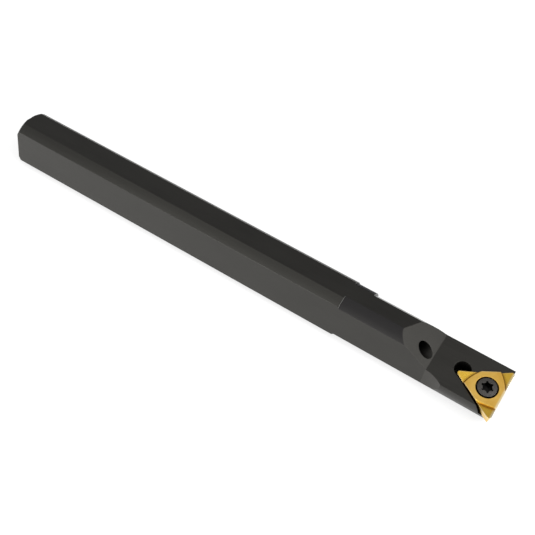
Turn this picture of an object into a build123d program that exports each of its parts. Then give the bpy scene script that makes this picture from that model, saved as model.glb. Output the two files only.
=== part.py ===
from build123d import *

import math
import os

# Indexable boring bar: a round steel bar with clamping flats, one triangular insert and its screw.
# The bar lies along X on its bottom flat. The middle of its tail face is the origin, the head is
# at +X, the cutting corner points to -Y and the top flat faces +Z. All sizes are in millimetres.

# Bar
bar_length = 100.0          # tail face to the front cutting edge
shank_diameter = 10.0
neck_diameter = 9.6         # the front of the bar is turned down a little
neck_length = 29.4          # shoulder to the front cutting edge
tail_chamfer = 0.45
height_over_flats = 8.9     # top flat to bottom flat
side_flat_distance = 3.75   # axis to the side flat
side_flat_stop = 12.6       # front cutting edge to the end of the side flat
side_cutter_diameter = 12.0  # the milling cutter that leaves the round run-out of the side flat

# Head
tip_offset = 6.0            # axis to the cutting corner, across the bar
rake_angle = 18.0           # the insert and its seat lean towards the cutting corner
ramp_angle = 28.7
ramp_foot = 12.44           # front cutting edge to the foot of the ramp
insert_step = 0.46          # insert face above the floor of the head
front_setback = 0.1         # front cutting edge to the front face of the head
front_relief = 5.0          # degrees that the front face leans back below the insert
relief_length = 25.7        # front cutting edge to the start of the relief at the back
relief_shift = 0.84         # centre of the relief to the axis, towards the cutting corner
relief_lift = 0.26          # and upwards

# Coolant way
coolant_bore_diameter = 3.0
coolant_bore_end = 17.0     # front cutting edge back to the end of the bore
nozzle_diameter = 2.2
nozzle_start_back = 19.0    # front cutting edge back to the inner end of the nozzle
nozzle_start_side = 0.3     # axis to the inner end, away from the cutting corner
nozzle_start_height = 1.0
outlet_back = 14.04         # front cutting edge back to the middle of the outlet
outlet_side = 1.39          # axis to the middle of the outlet, towards the cutting corner
outlet_height = 1.99

# Insert
inscribed_circle = 5.56
insert_thickness = 2.38
nose_radius = 0.4
base_nose_radius = 0.12
clearance_angle = 7.0
insert_hole_diameter = 2.8
sink_diameter = 3.72
sink_wall = 0.35            # straight wall above the cone that seats the screw
sink_angle = 60.0
breaker_depth = 0.38
breaker_wall = 0.16         # width of the steep back wall of a chip breaker
breaker_reach_long = 3.8    # sharp corner to the breaker's end along one edge
breaker_reach_short = 2.3   # and along the other edge
breaker_bow = 0.16          # how far the back wall bows towards the corner
breaker_sector = 60.0
breaker_hand = 1            # 1 or -1: which side of each corner has the long reach

# Screw
screw_diameter = 2.5
screw_length = 5.6          # insert face to the end of the screw
screw_head_diameter = 3.2
screw_rim = 0.85            # height of the straight rim of the head
screw_dome = 0.18
screw_end_chamfer = 0.2
socket_points = 2.06        # across the lobes of the six-lobe socket
socket_valleys = 1.48
socket_notch_radius = 0.44
socket_lobe_fillet = 0.09
socket_depth = 1.0
socket_turn = 26.0          # where the screw came to rest

# Clearances
pocket_gap = 0.05
pocket_side_spread = 2.5    # degrees that the pocket wall beside the cutting corner stands open
seat_gap = 0.02
thread_gap = 0.02
relief_hole_diameter = 2.86
relief_hole_forward = 0.88  # from the insert's rear corner towards the head
relief_hole_aside = 0.975   # and away from the cutting corner
relief_hole_extra = 1.2     # below the seat
through = 30.0              # longer than anything that is cut right through

# Places worked out from the sizes above
shank_radius = shank_diameter / 2
neck_radius = neck_diameter / 2
half_height = height_over_flats / 2
rake = math.radians(rake_angle)
insert_side = inscribed_circle * math.sqrt(3)
up_the_face = Vector(0, math.cos(rake), math.sin(rake))
face_normal = Vector(0, -math.sin(rake), math.cos(rake))
along_bar = Vector(1, 0, 0)

# A rounded corner of 60 degrees stands back from the sharp one by this much, beside the edge
nose_loss = nose_radius * (math.sqrt(3) - 1)
sharp_tip = Vector(bar_length, -(tip_offset + nose_loss * math.cos(rake)), 0)
face_centre = sharp_tip - along_bar * (inscribed_circle / 2) + up_the_face * (insert_side / 2)
face_plane = Plane(origin=face_centre, x_dir=along_bar, z_dir=face_normal)
seat_plane = face_plane.offset(-insert_thickness)
clearance_slope = math.tan(math.radians(clearance_angle))
base_inset = insert_thickness * clearance_slope

# A plane through the insert's middle that shows the head from the side of the cutting corner
profile_plane = Plane(origin=face_centre, x_dir=along_bar, z_dir=-up_the_face)
front_x = inscribed_circle / 2
ramp_foot_x = front_x - ramp_foot


def triangle_radius(inset):
    """Corner distance of the insert's triangle with each side moved in by the inset."""
    return inscribed_circle - 2 * inset


# Bar: turned, then milled flat, then the head is cut to the rake of the insert
with BuildPart() as bar:
    with BuildSketch(Plane.YZ):
        Circle(shank_radius)
    extrude(amount=bar_length - neck_length)
    with BuildSketch(Plane.YZ.offset(bar_length - neck_length)):
        Circle(neck_radius)
    extrude(amount=neck_length - front_setback)
    chamfer(bar.edges().filter_by(GeomType.CIRCLE).sort_by(Axis.X)[0], tail_chamfer)

    # Top and bottom clamping flats
    with BuildSketch(Plane.YZ):
        with Locations((0, half_height + shank_radius), (0, -half_height - shank_radius)):
            Rectangle(through, shank_diameter)
    extrude(amount=bar_length, mode=Mode.SUBTRACT)

    # Side flat, with the quarter circle that the cutter leaves where it lifts out
    side_stop_x = bar_length - side_flat_stop
    side_cutter_radius = side_cutter_diameter / 2
    with BuildSketch(Plane.XY):
        with BuildLine():
            run_in = Line((-1, -side_flat_distance), (side_stop_x, -side_flat_distance))
            run_out = TangentArc(
                run_in @ 1,
                (side_stop_x + side_cutter_radius, -side_flat_distance - side_cutter_radius),
                tangent=run_in % 1,
            )
            Polyline(run_out @ 1, (-1, -side_flat_distance - side_cutter_radius), run_in @ 0)
        make_face()
    extrude(amount=shank_radius, both=True, mode=Mode.SUBTRACT)

    # Relief at the back of the neck and head, turned on a second centre, with a square step
    with BuildSketch(Plane.YZ.offset(bar_length - relief_length)):
        with Locations((through / 2, 0)):
            Rectangle(through, through)
        with Locations((-relief_shift, relief_lift)):
            Circle(neck_radius, mode=Mode.SUBTRACT)
    extrude(amount=relief_length, mode=Mode.SUBTRACT)

    # Ramp and floor of the head, in the plane of the rake
    with BuildSketch(profile_plane):
        ramp_rise = shank_diameter
        ramp_run = ramp_rise / math.tan(math.radians(ramp_angle))
        Polygon(
            (ramp_foot_x, -insert_step),
            (through, -insert_step),
            (through, ramp_rise - insert_step),
            (ramp_foot_x - ramp_run, ramp_rise - insert_step),
            align=None,
        )
    extrude(amount=through, both=True, mode=Mode.SUBTRACT)

    # Front face, leaning back below the insert
    with BuildSketch(profile_plane):
        front_drop = shank_diameter
        Polygon(
            (front_x - front_setback, 0),
            (front_x - front_setback - front_drop * math.tan(math.radians(front_relief)), -front_drop),
            (through, -front_drop),
            (through, 0),
            align=None,
        )
    extrude(amount=through, both=True, mode=Mode.SUBTRACT)

    # Pocket: two walls with the insert's own taper, which meet at its rear corner
    back_wall_turn = math.radians(30)
    side_wall_turn = math.radians(30 + pocket_side_spread)
    for level, inset in ((face_plane, 0), (seat_plane, base_inset)):
        pocket_corner = Vector(-triangle_radius(inset) - 2 * pocket_gap, 0)
        along_back_wall = Vector(math.cos(back_wall_turn), math.sin(back_wall_turn))
        along_side_wall = Vector(math.cos(side_wall_turn), -math.sin(side_wall_turn))
        with BuildSketch(level):
            Polygon(
                pocket_corner,
                pocket_corner + along_side_wall * through,
                pocket_corner + along_back_wall * through,
                align=None,
            )
    loft(mode=Mode.SUBTRACT)

    # Relief hole at the rear corner of the pocket
    with BuildSketch(seat_plane.offset(-relief_hole_extra)):
        with Locations((relief_hole_forward - inscribed_circle, relief_hole_aside)):
            Circle(relief_hole_diameter / 2)
    extrude(amount=insert_thickness + relief_hole_extra, mode=Mode.SUBTRACT)

    # Tapped hole for the screw, right through the head
    with BuildSketch(seat_plane):
        Circle(screw_diameter / 2 + thread_gap)
    extrude(amount=-shank_diameter, mode=Mode.SUBTRACT)

    # Coolant way: a bore from the tail, then a slanted nozzle that opens on the ramp
    with BuildSketch(Plane.YZ):
        Circle(coolant_bore_diameter / 2)
    extrude(amount=bar_length - coolant_bore_end, mode=Mode.SUBTRACT)
    inner_end = Vector(bar_length - nozzle_start_back, nozzle_start_side, nozzle_start_height)
    outlet = Vector(bar_length - outlet_back, -outlet_side, outlet_height)
    with BuildSketch(Plane(origin=inner_end, z_dir=outlet - inner_end)):
        Circle(nozzle_diameter / 2)
    extrude(amount=(outlet - inner_end).length * 2, mode=Mode.SUBTRACT)
bar.part.label = "bar"

# Insert: a positive triangle with a sunk hole and a ground chip breaker at each corner
with BuildPart() as cutting_insert:
    with BuildSketch(face_plane) as face_outline:
        RegularPolygon(triangle_radius(0), 3, rotation=180)
        fillet(face_outline.vertices(), nose_radius)
    with BuildSketch(seat_plane) as base_outline:
        RegularPolygon(triangle_radius(base_inset), 3, rotation=180)
        fillet(base_outline.vertices(), base_nose_radius)
    loft()

    # Hole with a conical seat for the screw head
    sink_slope = math.tan(math.radians(sink_angle / 2))
    sink_depth = sink_wall + (sink_diameter - insert_hole_diameter) / 2 / sink_slope
    with BuildSketch(profile_plane):
        Polygon(
            (0, 0),
            (sink_diameter / 2, 0),
            (sink_diameter / 2, -sink_wall),
            (insert_hole_diameter / 2, -sink_depth),
            (insert_hole_diameter / 2, -insert_thickness),
            (0, -insert_thickness),
            align=None,
        )
    revolve(axis=Axis(face_centre, face_normal), mode=Mode.SUBTRACT)

    for corner in range(3):
        # From each corner, one edge runs 30 degrees to either side of the way to the middle
        corner_angle = 180 + 120 * corner
        sharp_corner = Vector(inscribed_circle, 0).rotate(Axis.Z, corner_angle)
        along_long_edge = Vector(-1, 0).rotate(Axis.Z, corner_angle + breaker_hand * 30)
        along_short_edge = Vector(-1, 0).rotate(Axis.Z, corner_angle - breaker_hand * 30)
        long_end = sharp_corner + along_long_edge * breaker_reach_long
        short_end = sharp_corner + along_short_edge * breaker_reach_short

        # The back wall is an arc over the chord between the two ends
        chord = (short_end - long_end).length
        wall_radius = (chord**2 / 4 + breaker_bow**2) / (2 * breaker_bow)
        chord_middle = (long_end + short_end) / 2
        outward = (short_end - long_end).rotate(Axis.Z, -90 * breaker_hand).normalized()
        wheel_centre = chord_middle - outward * (wall_radius - breaker_bow)
        corner_distance = (sharp_corner - wheel_centre).length
        wheel_origin = face_plane.from_local_coords(wheel_centre)
        sweep_start = outward.rotate(Axis.Z, -breaker_sector / 2)
        wheel_out = face_plane.from_local_coords(wheel_centre + sweep_start) - wheel_origin
        wheel_plane = Plane(origin=wheel_origin, x_dir=wheel_out, z_dir=wheel_out.cross(face_normal))
        with BuildSketch(wheel_plane):
            Polygon(
                (wall_radius - breaker_wall, 0),
                (wall_radius, -breaker_depth),
                (corner_distance, 0),
                (corner_distance, breaker_depth),
                (wall_radius - breaker_wall, breaker_depth),
                align=None,
            )
        revolve(
            axis=Axis(wheel_origin, face_normal),
            revolution_arc=breaker_sector,
            mode=Mode.SUBTRACT,
        )
cutting_insert.part.label = "cutting_insert"

# Screw: a low domed head on a cone that seats in the insert, with a six-lobe socket
with BuildPart() as clamp_screw:
    cone_radius = sink_diameter / 2 - seat_gap
    head_radius = screw_head_diameter / 2
    rim_bottom = -sink_wall - (cone_radius - head_radius) / sink_slope
    rim_top = rim_bottom + screw_rim
    cone_bottom = -sink_wall - (cone_radius - screw_diameter / 2) / sink_slope
    with BuildSketch(profile_plane):
        with BuildLine():
            dome = ThreePointArc(
                (-head_radius, rim_top), (0, rim_top + screw_dome), (head_radius, rim_top)
            )
            Polyline(
                dome @ 1,
                (head_radius, rim_bottom),
                (screw_diameter / 2, cone_bottom),
                (screw_diameter / 2, screw_end_chamfer - screw_length),
                (screw_diameter / 2 - screw_end_chamfer, -screw_length),
                (0, -screw_length),
                (0, -screw_length / 2),
                (-head_radius, -screw_length / 2),
                dome @ 0,
            )
        make_face()
        with Locations((-through / 2, 0)):
            Rectangle(through, through, mode=Mode.SUBTRACT)
    revolve(axis=Axis(face_centre, face_normal))
    with BuildSketch(face_plane.offset(rim_top + screw_dome)) as socket_outline:
        Circle(socket_points / 2)
        with PolarLocations(socket_valleys / 2 + socket_notch_radius, 6, start_angle=socket_turn):
            Circle(socket_notch_radius, mode=Mode.SUBTRACT)
        fillet(socket_outline.vertices(), socket_lobe_fillet)
    extrude(amount=-socket_depth, mode=Mode.SUBTRACT)
clamp_screw.part.label = "clamp_screw"

os.makedirs("parts", exist_ok=True)
for piece in (bar, cutting_insert, clamp_screw):
    export_step(piece.part, f"parts/{piece.part.label}.step")
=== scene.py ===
# %% [markdown]
# # A boring bar with a golden insert
# This lesson dresses the CAD model of a small boring bar for a product picture. The bar is dark
# oxidised steel. A golden triangular insert is held in its head by a dark screw. The shapes come
# from the CAD model. Here they get their finishes, a floor, soft lights and a camera.

# %% Load the CAD model
import bpy
import math
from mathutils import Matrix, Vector


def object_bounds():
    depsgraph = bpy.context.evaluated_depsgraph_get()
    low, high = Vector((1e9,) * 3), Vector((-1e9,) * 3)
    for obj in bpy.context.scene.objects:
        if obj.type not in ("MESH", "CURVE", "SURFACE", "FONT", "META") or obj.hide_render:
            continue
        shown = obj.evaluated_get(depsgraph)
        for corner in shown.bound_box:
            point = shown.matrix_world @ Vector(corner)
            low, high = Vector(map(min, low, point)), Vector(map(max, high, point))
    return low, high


MM = 1000  # millimetres in a metre

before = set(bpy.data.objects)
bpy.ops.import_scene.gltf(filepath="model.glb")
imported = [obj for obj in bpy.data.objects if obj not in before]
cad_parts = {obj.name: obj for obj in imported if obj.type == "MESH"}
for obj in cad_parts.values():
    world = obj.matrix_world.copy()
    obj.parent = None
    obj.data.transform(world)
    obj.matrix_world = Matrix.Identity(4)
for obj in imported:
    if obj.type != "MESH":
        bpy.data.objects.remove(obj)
cad_low, cad_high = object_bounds()
print("nodes:", sorted(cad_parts))
print("size in mm:", [round(v * MM, 2) for v in cad_high - cad_low])

# %% [markdown]
# ## Start each finish in the same way
# A new material already holds a Principled shader. A finish here only adds the nodes that vary its
# colour, shine and bumps. They read Object coordinates, which are places on the piece itself, so a
# pattern stays on the piece when it is seen from another side.


# %% Start a finish
def new_finish(name):
    """A new material's node tree, its shader, and its Object coordinates in metres."""
    finish = bpy.data.materials.new(name)
    finish.use_nodes = True
    shader = finish.node_tree.nodes["Principled BSDF"]
    where = finish.node_tree.nodes.new("ShaderNodeTexCoord")
    print("new finish:", name)
    return finish.node_tree, shader, where.outputs["Object"]


# %% [markdown]
# ## Patterns
# One metre is far too large a unit for scratches, so a Mapping node turns the coordinates into
# millimetres first. It can stretch the pattern as well: milling marks are noise that is long in one
# direction. Noise is a value between 0 and 1 that seldom leaves the middle tones, so those are
# spread over the range that is wanted.

# %% Noise and ranges
MIDDLE_TONES = (0.35, 0.65)
WIDE_TONES = (0.3, 0.7)


def noise(tree, where, per_mm, detail=3.0):
    """Noise with that many waves a millimetre along X, Y and Z."""
    mapping = tree.nodes.new("ShaderNodeMapping")
    mapping.inputs["Scale"].default_value = [v * MM for v in per_mm]
    texture = tree.nodes.new("ShaderNodeTexNoise")
    texture.inputs["Scale"].default_value = 1.0
    texture.inputs["Detail"].default_value = detail
    tree.links.new(where, mapping.inputs["Vector"])
    tree.links.new(mapping.outputs["Vector"], texture.inputs["Vector"])
    return texture.outputs["Fac"]


def remap(tree, value, low, high, to_low, to_high):
    """Values from low to high become to_low to to_high."""
    node = tree.nodes.new("ShaderNodeMapRange")
    node.inputs["From Min"].default_value = low
    node.inputs["From Max"].default_value = high
    node.inputs["To Min"].default_value = to_low
    node.inputs["To Max"].default_value = to_high
    tree.links.new(value, node.inputs["Value"])
    return node.outputs["Result"]


# %% [markdown]
# ## Colours
# Two colours are blended with a Mix node. It has sockets for values, vectors and colours under the
# same names, so the ones for colours are reached by their numbers.

# %% Blend two colours
MIX_AMOUNT = 0
FIRST_COLOUR = 6
SECOND_COLOUR = 7
MIXED_COLOUR = 2


def blend(tree, amount, first, second):
    """From the first colour to the second. Each is a colour or a node's output."""
    node = tree.nodes.new("ShaderNodeMix")
    node.data_type = "RGBA"
    for socket, colour in ((FIRST_COLOUR, first), (SECOND_COLOUR, second)):
        if isinstance(colour, tuple):
            node.inputs[socket].default_value = (*colour, 1)
        else:
            tree.links.new(colour, node.inputs[socket])
    tree.links.new(amount, node.inputs[MIX_AMOUNT])
    return node.outputs[MIXED_COLOUR]


# %% [markdown]
# ## Find a surface by its place
# The finish changes from one surface of a piece to the next. The mesh of a CAD node stays as it is,
# so the surfaces get no materials of their own. Each one lies at a known distance along a direction
# or from a line, and Math nodes can test for that: a test gives 1 on its surface and 0 elsewhere.


# %% Distances and tests
def calculate(tree, value, operation, other=0):
    """A Math node on two values, each a number or a node's output."""
    node = tree.nodes.new("ShaderNodeMath")
    node.operation = operation
    for socket, item in ((node.inputs[0], value), (node.inputs[1], other)):
        if isinstance(item, (int, float)):
            socket.default_value = item
        else:
            tree.links.new(item, socket)
    return node.outputs[0]


def distance_along(tree, where, direction):
    """How far each point lies along a direction from the origin, in millimetres."""
    node = tree.nodes.new("ShaderNodeVectorMath")
    node.operation = "DOT_PRODUCT"
    node.inputs[1].default_value = [v * MM for v in direction]
    tree.links.new(where, node.inputs[0])
    return node.outputs["Value"]


def distance_from_line(tree, where, y, z):
    """How far each point lies from a line along X at that Y and Z, in millimetres."""
    across = tree.nodes.new("ShaderNodeVectorMath")
    across.operation = "MULTIPLY_ADD"
    across.inputs[1].default_value = (0, MM, MM)
    across.inputs[2].default_value = (0, -y, -z)
    tree.links.new(where, across.inputs[0])
    length = tree.nodes.new("ShaderNodeVectorMath")
    length.operation = "LENGTH"
    tree.links.new(across.outputs["Vector"], length.inputs[0])
    return length.outputs["Value"]


def lies_at(tree, value, place, width):
    """1 where the value is within that width of the place, 0 elsewhere."""
    off = calculate(tree, calculate(tree, value, "SUBTRACT", place), "ABSOLUTE")
    return calculate(tree, off, "LESS_THAN", width)


# %% [markdown]
# ## Bumps, edges and holes
# No real edge is perfectly sharp. A Bevel node bends the normals near an edge, so the edge catches
# light without a change to the mesh. An Ambient Occlusion node finds the narrow places, which get
# a painted shade: darker colours.

# %% Helpers for bumps, edges and holes
EDGE_SAMPLES = 8
HOLE_SAMPLES = 12


def bump(tree, height, depth_mm, normal):
    """A bump of that depth over an earlier normal."""
    node = tree.nodes.new("ShaderNodeBump")
    node.inputs["Distance"].default_value = depth_mm / MM
    tree.links.new(height, node.inputs["Height"])
    tree.links.new(normal, node.inputs["Normal"])
    return node.outputs["Normal"]


def soft_edge(tree, radius_mm):
    """The normal as if each sharp edge were broken with a small radius."""
    node = tree.nodes.new("ShaderNodeBevel")
    node.samples = EDGE_SAMPLES
    node.inputs["Radius"].default_value = radius_mm / MM
    return node.outputs["Normal"]


def openness(tree, reach_mm, low, high):
    """1 where the surface lies open, 0 in holes and narrow gaps no wider than the reach."""
    node = tree.nodes.new("ShaderNodeAmbientOcclusion")
    node.samples = HOLE_SAMPLES
    node.inputs["Distance"].default_value = reach_mm / MM
    return remap(tree, node.outputs["AO"], low, high, 0, 1)


# %% [markdown]
# ## Dark oxidised steel
# The bar is hardened steel with a black oxide skin. The skin is thin, so the marks of the last
# cut still show. The flats are milled along the bar: slow clouds vary their dark grey, and fine
# lighter streaks run along them.

# %% Milled steel
MILLED_DARK = (0.006, 0.0058, 0.0052)
MILLED_LIGHT = (0.009, 0.0087, 0.0078)
MILLED_STREAK = (0.016, 0.0155, 0.014)
STREAK_TONES = (0.45, 0.75)
STREAK_AMOUNT = 0.5

tree, steel, where = new_finish("black_oxide_steel")
clouds = noise(tree, where, per_mm=(0.12, 0.3, 0.3))
marks = noise(tree, where, per_mm=(0.15, 9, 9), detail=4)
grains = noise(tree, where, per_mm=(7, 7, 7), detail=2)
cloudy = remap(tree, clouds, *MIDDLE_TONES, 0, 1)
milled = blend(tree, cloudy, MILLED_DARK, MILLED_LIGHT)
streaky = remap(tree, marks, *STREAK_TONES, 0, STREAK_AMOUNT)
milled = blend(tree, streaky, milled, MILLED_STREAK)
print("the milled steel has", len(tree.nodes), "nodes")

# %% [markdown]
# ## The round parts of the bar
# What is left of the round is the outside of a ground rod, all of it at one radius from the axis.
# The flats lie nearer to the axis than that. The neck is turned down to a smaller radius. The
# relief at the back of the neck and head is turned as well, on a second centre, and it is found by
# the distance from that one.

# %% Find the round parts
SHANK_RADIUS = 5.0
NECK_RADIUS = 4.8
SHOULDER_X = 70.6
RELIEF_X = 74.3
RELIEF_CENTRE = (-0.84, 0.26)
BACK_Y = 0.05
ROUND_WIDTH = 0.015

along = distance_along(tree, where, (1, 0, 0))
from_axis = distance_from_line(tree, where, 0, 0)
is_neck = calculate(tree, along, "GREATER_THAN", SHOULDER_X)
radius_here = remap(tree, is_neck, 0, 1, SHANK_RADIUS, NECK_RADIUS)
outward = calculate(tree, from_axis, "SUBTRACT", radius_here)
is_round = calculate(tree, outward, "GREATER_THAN", -ROUND_WIDTH)
at_back = calculate(tree, distance_along(tree, where, (0, 1, 0)), "GREATER_THAN", BACK_Y)
from_relief_centre = distance_from_line(tree, where, *RELIEF_CENTRE)
near_relief = lies_at(tree, from_relief_centre, NECK_RADIUS, ROUND_WIDTH)
past_step = calculate(tree, along, "GREATER_THAN", RELIEF_X)
back_past_step = calculate(tree, at_back, "MULTIPLY", past_step)
is_relief = calculate(tree, near_relief, "MULTIPLY", back_past_step)
print("shank, neck and relief found by", SHANK_RADIUS, NECK_RADIUS, RELIEF_CENTRE, "mm")

# %% [markdown]
# ## The steps and the side of the head
# Two square steps are left by the turning: the shoulder where the neck begins, and one where the
# relief begins. Their faces lie across the bar and outside the smaller round, and they get a
# painted highlight. The side of the head lies past the foot of the ramp, below the floor that
# carries the insert, and not at the back. That floor leans by the rake, so the height is measured
# along the floor's own normal.

# %% Find the steps and the side of the head
RAKE = math.radians(18)
FACE_NORMAL = (0, -math.sin(RAKE), math.cos(RAKE))
FLOOR_HEIGHT = 1.47
FOOT_X = 87.5
EDGE_WIDTH = 0.05
CLEAR = 0.01

past_neck = calculate(tree, from_axis, "GREATER_THAN", NECK_RADIUS + CLEAR)
on_shoulder = lies_at(tree, along, SHOULDER_X, EDGE_WIDTH)
shoulder_face = calculate(tree, on_shoulder, "MULTIPLY", past_neck)
past_relief = calculate(tree, from_relief_centre, "GREATER_THAN", NECK_RADIUS + CLEAR)
on_step = calculate(tree, lies_at(tree, along, RELIEF_X, EDGE_WIDTH), "MULTIPLY", at_back)
step_face = calculate(tree, on_step, "MULTIPLY", past_relief)
is_step = calculate(tree, shoulder_face, "MAXIMUM", step_face)

leaning_height = distance_along(tree, where, FACE_NORMAL)
above_floor = calculate(tree, leaning_height, "GREATER_THAN", FLOOR_HEIGHT)
past_foot = calculate(tree, along, "GREATER_THAN", FOOT_X)
left_out = calculate(tree, above_floor, "MAXIMUM", at_back)
is_head_side = calculate(tree, past_foot, "GREATER_THAN", left_out)
print("head side past", FOOT_X, "mm and below", FLOOR_HEIGHT, "mm")

# %% [markdown]
# ## Colours of the bar
# The ground round is a little lighter than the flats, and darkest near the tail. The neck is turned
# after the grinding, so its skin is darker and cooler. The side of the head is lighter. The relief
# and the faces of the steps are lightest, a painted highlight. Holes and narrow gaps get a painted
# shade that is almost black.

# %% Colour the bar
GROUND_TAIL = (0.009, 0.0088, 0.0077)
GROUND_SHANK = (0.0145, 0.0141, 0.0124)
GROUND_NECK = (0.0115, 0.011, 0.0125)
HEAD_SIDE = (0.020, 0.019, 0.0175)
RELIEF_HIGHLIGHT = (0.085, 0.085, 0.08)
STEP_HIGHLIGHT = (0.14, 0.14, 0.138)
HOLE_PAINTED_SHADE = (0.0008, 0.0008, 0.0008)
TAIL_FADE = (10, 35)

past_tail = remap(tree, along, *TAIL_FADE, 0, 1)
ground = blend(tree, past_tail, GROUND_TAIL, GROUND_SHANK)
ground = blend(tree, is_neck, ground, GROUND_NECK)
shade = blend(tree, is_round, milled, ground)
shade = blend(tree, is_head_side, shade, HEAD_SIDE)
# The relief is painted lighter: a painted highlight.
shade = blend(tree, is_relief, shade, RELIEF_HIGHLIGHT)
# The faces of the steps are painted lighter: a painted highlight.
shade = blend(tree, is_step, shade, STEP_HIGHLIGHT)
# Holes and narrow gaps get a painted shade, almost black.
open_steel = openness(tree, reach_mm=2.5, low=0.25, high=0.7)
shade = blend(tree, open_steel, HOLE_PAINTED_SHADE, shade)
tree.links.new(shade, steel.inputs["Base Color"])
print("the bar's finish so far has", len(tree.nodes), "nodes")

# %% [markdown]
# ## Sheen of the bar
# Black oxide is dull rather than glossy, and its weak reflection shows what stands around the bar.
# How strong it is could be one number for the whole bar. Here it varies. It weakens a little
# towards the head, but not on the side of the head, as a painted shade. It is weaker on the round
# of the neck. At the top of the back of the neck it is weakest, and in holes all but gone: both of
# these are painted shade.

# %% Strength of the reflection
SHEEN_OPEN = 0.5
SHEEN_HOLE = 0.05
SHARE_HEAD = 0.88
SHARE_NECK = 0.62
BACK_SHADE_SHARE = 0.93
HEAD_FADE = (30, 85)
TOP_FADE = (2.2, 4.0)
SHEEN_TINT = (1.0, 0.97, 0.9, 1)

towards_head = remap(tree, along, *HEAD_FADE, 1, SHARE_HEAD)
sheen = calculate(tree, towards_head, "MAXIMUM", is_head_side)
neck_round = calculate(tree, is_neck, "MULTIPLY", is_round)
sheen = calculate(tree, sheen, "MULTIPLY", remap(tree, neck_round, 0, 1, 1, SHARE_NECK))
# At the top of the back of the neck the sheen is cut: a painted shade.
neck_back = calculate(tree, neck_round, "MULTIPLY", at_back)
height = distance_along(tree, where, (0, 0, 1))
towards_top = remap(tree, height, *TOP_FADE, 0, BACK_SHADE_SHARE)
back_shade = calculate(tree, neck_back, "MULTIPLY", towards_top)
sheen = calculate(tree, sheen, "MULTIPLY", calculate(tree, 1, "SUBTRACT", back_shade))
# Holes and gaps also get a painted shade in the sheen.
open_sheen = remap(tree, open_steel, 0, 1, SHEEN_HOLE, SHEEN_OPEN)
sheen = calculate(tree, sheen, "MULTIPLY", open_sheen)
tree.links.new(sheen, steel.inputs["Specular IOR Level"])
steel.inputs["Metallic"].default_value = 0.0
steel.inputs["IOR"].default_value = 1.6
steel.inputs["Specular Tint"].default_value = SHEEN_TINT
print("sheen of open steel:", SHEEN_OPEN, "and in holes:", SHEEN_HOLE)

# %% [markdown]
# ## Marks on the bar
# The streaks that colour the steel are also cut into it, one or two thousandths of a millimetre
# deep, with fine grains over them. They change the roughness too. The turned relief at the back is
# the smoothest part.

# %% Roughness and bumps of the bar
STEEL_ROUGHNESS = (0.34, 0.46)
SMOOTHER_RELIEF = 0.18
MARK_DEPTH = 0.0015
GRAIN_DEPTH = 0.001
EDGE_RADIUS = 0.1

dull = remap(tree, marks, *WIDE_TONES, *STEEL_ROUGHNESS)
smoother = calculate(tree, is_relief, "MULTIPLY", SMOOTHER_RELIEF)
tree.links.new(calculate(tree, dull, "SUBTRACT", smoother), steel.inputs["Roughness"])
surface = bump(tree, marks, MARK_DEPTH, soft_edge(tree, EDGE_RADIUS))
surface = bump(tree, grains, GRAIN_DEPTH, surface)
tree.links.new(surface, steel.inputs["Normal"])
print("the bar's finish has", len(tree.nodes), "nodes")

# %% [markdown]
# ## Golden nitride coating
# The insert is sintered carbide under a golden coating a few thousandths of a millimetre thick.
# Its face is as it was sintered. The chip breakers and the flanks lie below that face and were
# ground, so one test of the height tells the two apart. Creases and the gap round the screw get a
# painted shade of dark brown.

# %% Colour of the coating
FACE_HEIGHT = 1.942
BELOW = 0.01
GOLD_DEEP = (0.80, 0.475, 0.085)
GOLD_PALE = (0.89, 0.57, 0.135)
GOLD_GROUND = (0.86, 0.54, 0.065)
GOLD_CREASE_SHADE = (0.22, 0.08, 0.006)

tree, gold, where = new_finish("golden_nitride")
clouds = noise(tree, where, per_mm=(0.5, 0.5, 0.5))
grains = noise(tree, where, per_mm=(9, 9, 9))
face_height = distance_along(tree, where, FACE_NORMAL)
below_face = calculate(tree, face_height, "LESS_THAN", FACE_HEIGHT - BELOW)
cloudy = remap(tree, clouds, *MIDDLE_TONES, 0, 1)
face_shade = blend(tree, cloudy, GOLD_DEEP, GOLD_PALE)
shade = blend(tree, below_face, face_shade, GOLD_GROUND)
print("golden face above", FACE_HEIGHT - BELOW, "mm, ground gold below")

# %% [markdown]
# ## A painted highlight on the rim
# The cutting edges are honed round, and a pale painted highlight stands for the light they catch.
# A Bevel node could find the edges, but it would find those of the chip breakers and the hole as
# well. The distance from each side of the triangle finds the rim alone: a wide pale band along the
# front side and down its flank, and a narrow weak one along the other two.

# %% Colour of the rim
INSERT_MIDDLE = (97.22, -1.156)
INRADIUS = 2.78
FRONT_ANGLE = 0
REAR_ANGLES = (120, 240)
FRONT_HIGHLIGHT_SPAN = (0.15, 0.42)
REAR_HIGHLIGHT_SPAN = (0.03, 0.16)
REAR_AMOUNT = 0.45
GOLD_RIM_HIGHLIGHT = (0.95, 0.80, 0.50)


def side_distance(tree, where, angle):
    """How far each point lies inside the triangle's side at that angle, in millimetres."""
    along_bar = math.cos(math.radians(angle))
    up_face = math.sin(math.radians(angle))
    out = (along_bar, up_face * math.cos(RAKE), up_face * math.sin(RAKE))
    edge = INRADIUS + INSERT_MIDDLE[0] * along_bar + INSERT_MIDDLE[1] * up_face
    return calculate(tree, edge, "SUBTRACT", distance_along(tree, where, out))


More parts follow.
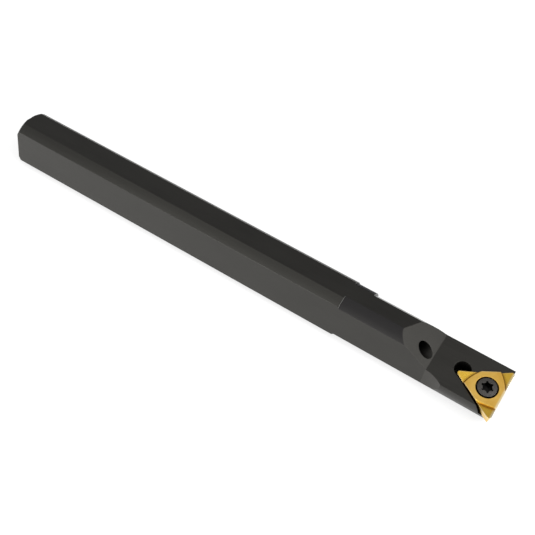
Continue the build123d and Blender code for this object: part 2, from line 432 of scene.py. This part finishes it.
# A pale painted highlight along the rim of the insert.
front_highlight = remap(tree, side_distance(tree, where, FRONT_ANGLE), *FRONT_HIGHLIGHT_SPAN, 1, 0)
rear_sides = [side_distance(tree, where, angle) for angle in REAR_ANGLES]
nearest_rear = calculate(tree, rear_sides[0], "MINIMUM", rear_sides[1])
rear_highlight = remap(tree, nearest_rear, *REAR_HIGHLIGHT_SPAN, REAR_AMOUNT, 0)
rim = calculate(tree, front_highlight, "MAXIMUM", rear_highlight)
shade = blend(tree, rim, shade, GOLD_RIM_HIGHLIGHT)
# Creases and the gap round the screw get a painted shade of dark brown.
open_gold = openness(tree, reach_mm=0.6, low=0.6, high=0.95)
shade = blend(tree, open_gold, GOLD_CREASE_SHADE, shade)
tree.links.new(shade, gold.inputs["Base Color"])
print("rim", INRADIUS, "mm from the insert's middle at", INSERT_MIDDLE)

# %% [markdown]
# ## Roughness of the coating
# The sintered face is dull and grainy. The ground faces are smoother and show more of the room. A
# Mix node for values picks one or the other. Metallic is a little below 1, which keeps some of
# the coating's own colour in the shade.

# %% Roughness and bumps of the coating
FIRST_VALUE = 2
SECOND_VALUE = 3
MIXED_VALUE = 0
SINTER_ROUGHNESS = (0.42, 0.54)
GROUND_ROUGHNESS = 0.26
SINTER_DEPTH = 0.0015
HONED_RADIUS = 0.1

sintered = remap(tree, grains, *WIDE_TONES, *SINTER_ROUGHNESS)
roughness = tree.nodes.new("ShaderNodeMix")
tree.links.new(below_face, roughness.inputs[MIX_AMOUNT])
tree.links.new(sintered, roughness.inputs[FIRST_VALUE])
roughness.inputs[SECOND_VALUE].default_value = GROUND_ROUGHNESS
tree.links.new(roughness.outputs[MIXED_VALUE], gold.inputs["Roughness"])
surface = bump(tree, grains, SINTER_DEPTH, soft_edge(tree, HONED_RADIUS))
tree.links.new(surface, gold.inputs["Normal"])
gold.inputs["Metallic"].default_value = 0.9
print("the coating has", len(tree.nodes), "nodes")

# %% [markdown]
# ## The screw
# The clamp screw is turned and oiled, smoother than the bar, with a grey shine on its rim. Its
# socket and the gap round its head get a painted shade, nearly black. It could share the finish of
# the bar, but that one would be too dull for it.

# %% Finish of the screw
SCREW_DARK = (0.085, 0.079, 0.074)
SCREW_LIGHT = (0.145, 0.136, 0.128)
SOCKET_SHADE = (0.001, 0.001, 0.001)
SCREW_ROUGHNESS = (0.16, 0.26)
SCREW_GRAIN_DEPTH = 0.002
SCREW_EDGE_RADIUS = 0.05

tree, screw, where = new_finish("oiled_screw_steel")
grains = noise(tree, where, per_mm=(8, 8, 8))
grainy = remap(tree, grains, *MIDDLE_TONES, 0, 1)
shade = blend(tree, grainy, SCREW_DARK, SCREW_LIGHT)
# The socket and the gap round the head get a painted shade, nearly black.
open_screw = openness(tree, reach_mm=1.8, low=0.45, high=0.85)
shade = blend(tree, open_screw, SOCKET_SHADE, shade)
tree.links.new(shade, screw.inputs["Base Color"])
smooth = remap(tree, grains, *WIDE_TONES, *SCREW_ROUGHNESS)
tree.links.new(smooth, screw.inputs["Roughness"])
surface = bump(tree, grains, SCREW_GRAIN_DEPTH, soft_edge(tree, SCREW_EDGE_RADIUS))
tree.links.new(surface, screw.inputs["Normal"])
screw.inputs["Metallic"].default_value = 0.8
print("the screw's finish has", len(tree.nodes), "nodes")

# %% [markdown]
# ## Put the finishes on
# The shapes of the CAD nodes are right as they are, so nothing is modelled again. Each node only
# gets its finish in the material slots that it already has.

# %% Give each node its finish
for node, finish in (
    ("bar", "black_oxide_steel"),
    ("cutting_insert", "golden_nitride"),
    ("clamp_screw", "oiled_screw_steel"),
):
    for material_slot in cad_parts[node].material_slots:
        material_slot.material = bpy.data.materials[finish]
    print(node, "has", finish)

# %% [markdown]
# ## A plain floor that keeps a shadow
# The bar lies on its bottom flat. Only the top of what it lies on is seen, so a large plane is
# enough.

# %% Floor
FLOOR_SIZE = 6

bpy.ops.object.select_all(action="DESELECT")
bpy.ops.mesh.primitive_plane_add(size=FLOOR_SIZE, location=(cad_high.x / 2, 0, cad_low.z))
floor = bpy.context.object
floor.name = "floor"
print("floor at", round(cad_low.z * MM, 2), "mm")

# %% [markdown]
# ## The floor's finish
# The floor should look white, but with more light on it the bar would be too bright. So the camera,
# and the sheen of the metal, see a grey floor with a glow that tops it up to white, and the shadow
# under the bar shows on the grey. All other light meets a plain pale matte.

# %% Floor finish
PALE = (0.75, 0.75, 0.75, 1)
UNDER_GLOW = (0.4, 0.4, 0.4, 1)
GLOW = 0.76

floor_finish = bpy.data.materials.new("pale_floor")
floor_finish.use_nodes = True
tree = floor_finish.node_tree
tree.nodes.remove(tree.nodes["Principled BSDF"])
matte = tree.nodes.new("ShaderNodeBsdfDiffuse")
matte.inputs["Color"].default_value = PALE
seen_matte = tree.nodes.new("ShaderNodeBsdfDiffuse")
seen_matte.inputs["Color"].default_value = UNDER_GLOW
glow = tree.nodes.new("ShaderNodeEmission")
glow.inputs["Strength"].default_value = GLOW
seen = tree.nodes.new("ShaderNodeAddShader")
tree.links.new(seen_matte.outputs[0], seen.inputs[0])
tree.links.new(glow.outputs[0], seen.inputs[1])
path = tree.nodes.new("ShaderNodeLightPath")
is_seen = calculate(tree, path.outputs["Is Camera Ray"], "MAXIMUM", path.outputs["Is Glossy Ray"])
choice = tree.nodes.new("ShaderNodeMixShader")
tree.links.new(is_seen, choice.inputs["Fac"])
tree.links.new(matte.outputs[0], choice.inputs[1])
tree.links.new(seen.outputs[0], choice.inputs[2])
tree.links.new(choice.outputs[0], tree.nodes["Material Output"].inputs["Surface"])
floor.data.materials.append(floor_finish)
print("floor finish has", len(tree.nodes), "nodes")

# %% [markdown]
# ## A grey room
# Dull dark metal shows mostly what stands around it. One even grey would make the bar flat, so the
# room is lighter above and in front of the head, and darker behind. Only the camera sees it white.

# %% Room
WHITE = (1, 1, 1, 1)
LIGHTEST_SIDE = (0.45, -0.55, 0.70)
ROOM_DARK = 0.25
ROOM_LIGHT = 0.72

world = bpy.data.worlds.new("grey_room")
bpy.context.scene.world = world
world.use_nodes = True
tree = world.node_tree
room = tree.nodes["Background"]
room.inputs["Color"].default_value = WHITE
direction = tree.nodes.new("ShaderNodeTexCoord").outputs["Generated"]
towards = tree.nodes.new("ShaderNodeVectorMath")
towards.operation = "DOT_PRODUCT"
towards.inputs[1].default_value = Vector(LIGHTEST_SIDE).normalized()
tree.links.new(direction, towards.inputs[0])
strength = remap(tree, towards.outputs["Value"], 0, 1, ROOM_DARK, ROOM_LIGHT)
tree.links.new(strength, room.inputs["Strength"])
white = tree.nodes.new("ShaderNodeBackground")
white.inputs["Color"].default_value = WHITE
view = tree.nodes.new("ShaderNodeLightPath")
seen_room = tree.nodes.new("ShaderNodeMixShader")
tree.links.new(view.outputs["Is Camera Ray"], seen_room.inputs["Fac"])
tree.links.new(room.outputs[0], seen_room.inputs[1])
tree.links.new(white.outputs[0], seen_room.inputs[2])
tree.links.new(seen_room.outputs[0], tree.nodes["World Output"].inputs["Surface"])
print("room from", ROOM_DARK, "to", ROOM_LIGHT)

# %% [markdown]
# ## Soft boxes
# Two large soft boxes stand to the left and to the right, as in a product studio. Small lamps would
# leave hard spots on the metal. The left box lights the side flat, and the ramp of the head picks
# up the right one. Nothing stands behind the bar, so its top stays the darkest part.

# %% Lights
HEAD = (0.095, 0, 0)
MIDDLE_OF_BAR = (0.05, 0, 0)


def soft_box(name, place, target, size, watts):
    """A square light of that size in metres that faces the target."""
    data = bpy.data.lights.new(name, "AREA")
    data.size = size
    data.energy = watts
    box = bpy.data.objects.new(name, data)
    box.location = place
    box.rotation_euler = (Vector(target) - Vector(place)).to_track_quat("-Z", "Y").to_euler()
    bpy.context.scene.collection.objects.link(box)
    print(name, watts, "W")


soft_box("left_box", place=(-0.15, -0.75, 0.16), target=MIDDLE_OF_BAR, size=0.45, watts=3.0)
soft_box("right_box", place=(0.62, -0.15, 0.55), target=HEAD, size=0.6, watts=3.2)

# %% [markdown]
# ## Camera
# The picture is taken from above the head, close enough that the tail looks smaller. The camera
# is also rolled a little, so that the bar runs down the picture from the left to the right. It could
# be aimed at a point by a constraint, but that gives no roll, so its turn is written as angles.

# %% Camera
SENSOR_WIDTH = 36
LENS = 58.675
NEAREST = 0.001
PLACE = (0.10113723, -0.10052455, 0.10561014)
TURN = (45.69324, -7.96828, 32.42994)

scene = bpy.context.scene
camera_data = bpy.data.cameras.new("camera")
camera_data.sensor_width = SENSOR_WIDTH
camera_data.lens = LENS
camera_data.clip_start = NEAREST
camera = bpy.data.objects.new("camera", camera_data)
camera.location = PLACE
camera.rotation_euler = [math.radians(v) for v in TURN]
scene.collection.objects.link(camera)
scene.camera = camera
scene.view_settings.view_transform = "Standard"
print("camera", [round(v * MM) for v in camera.location], "mm")
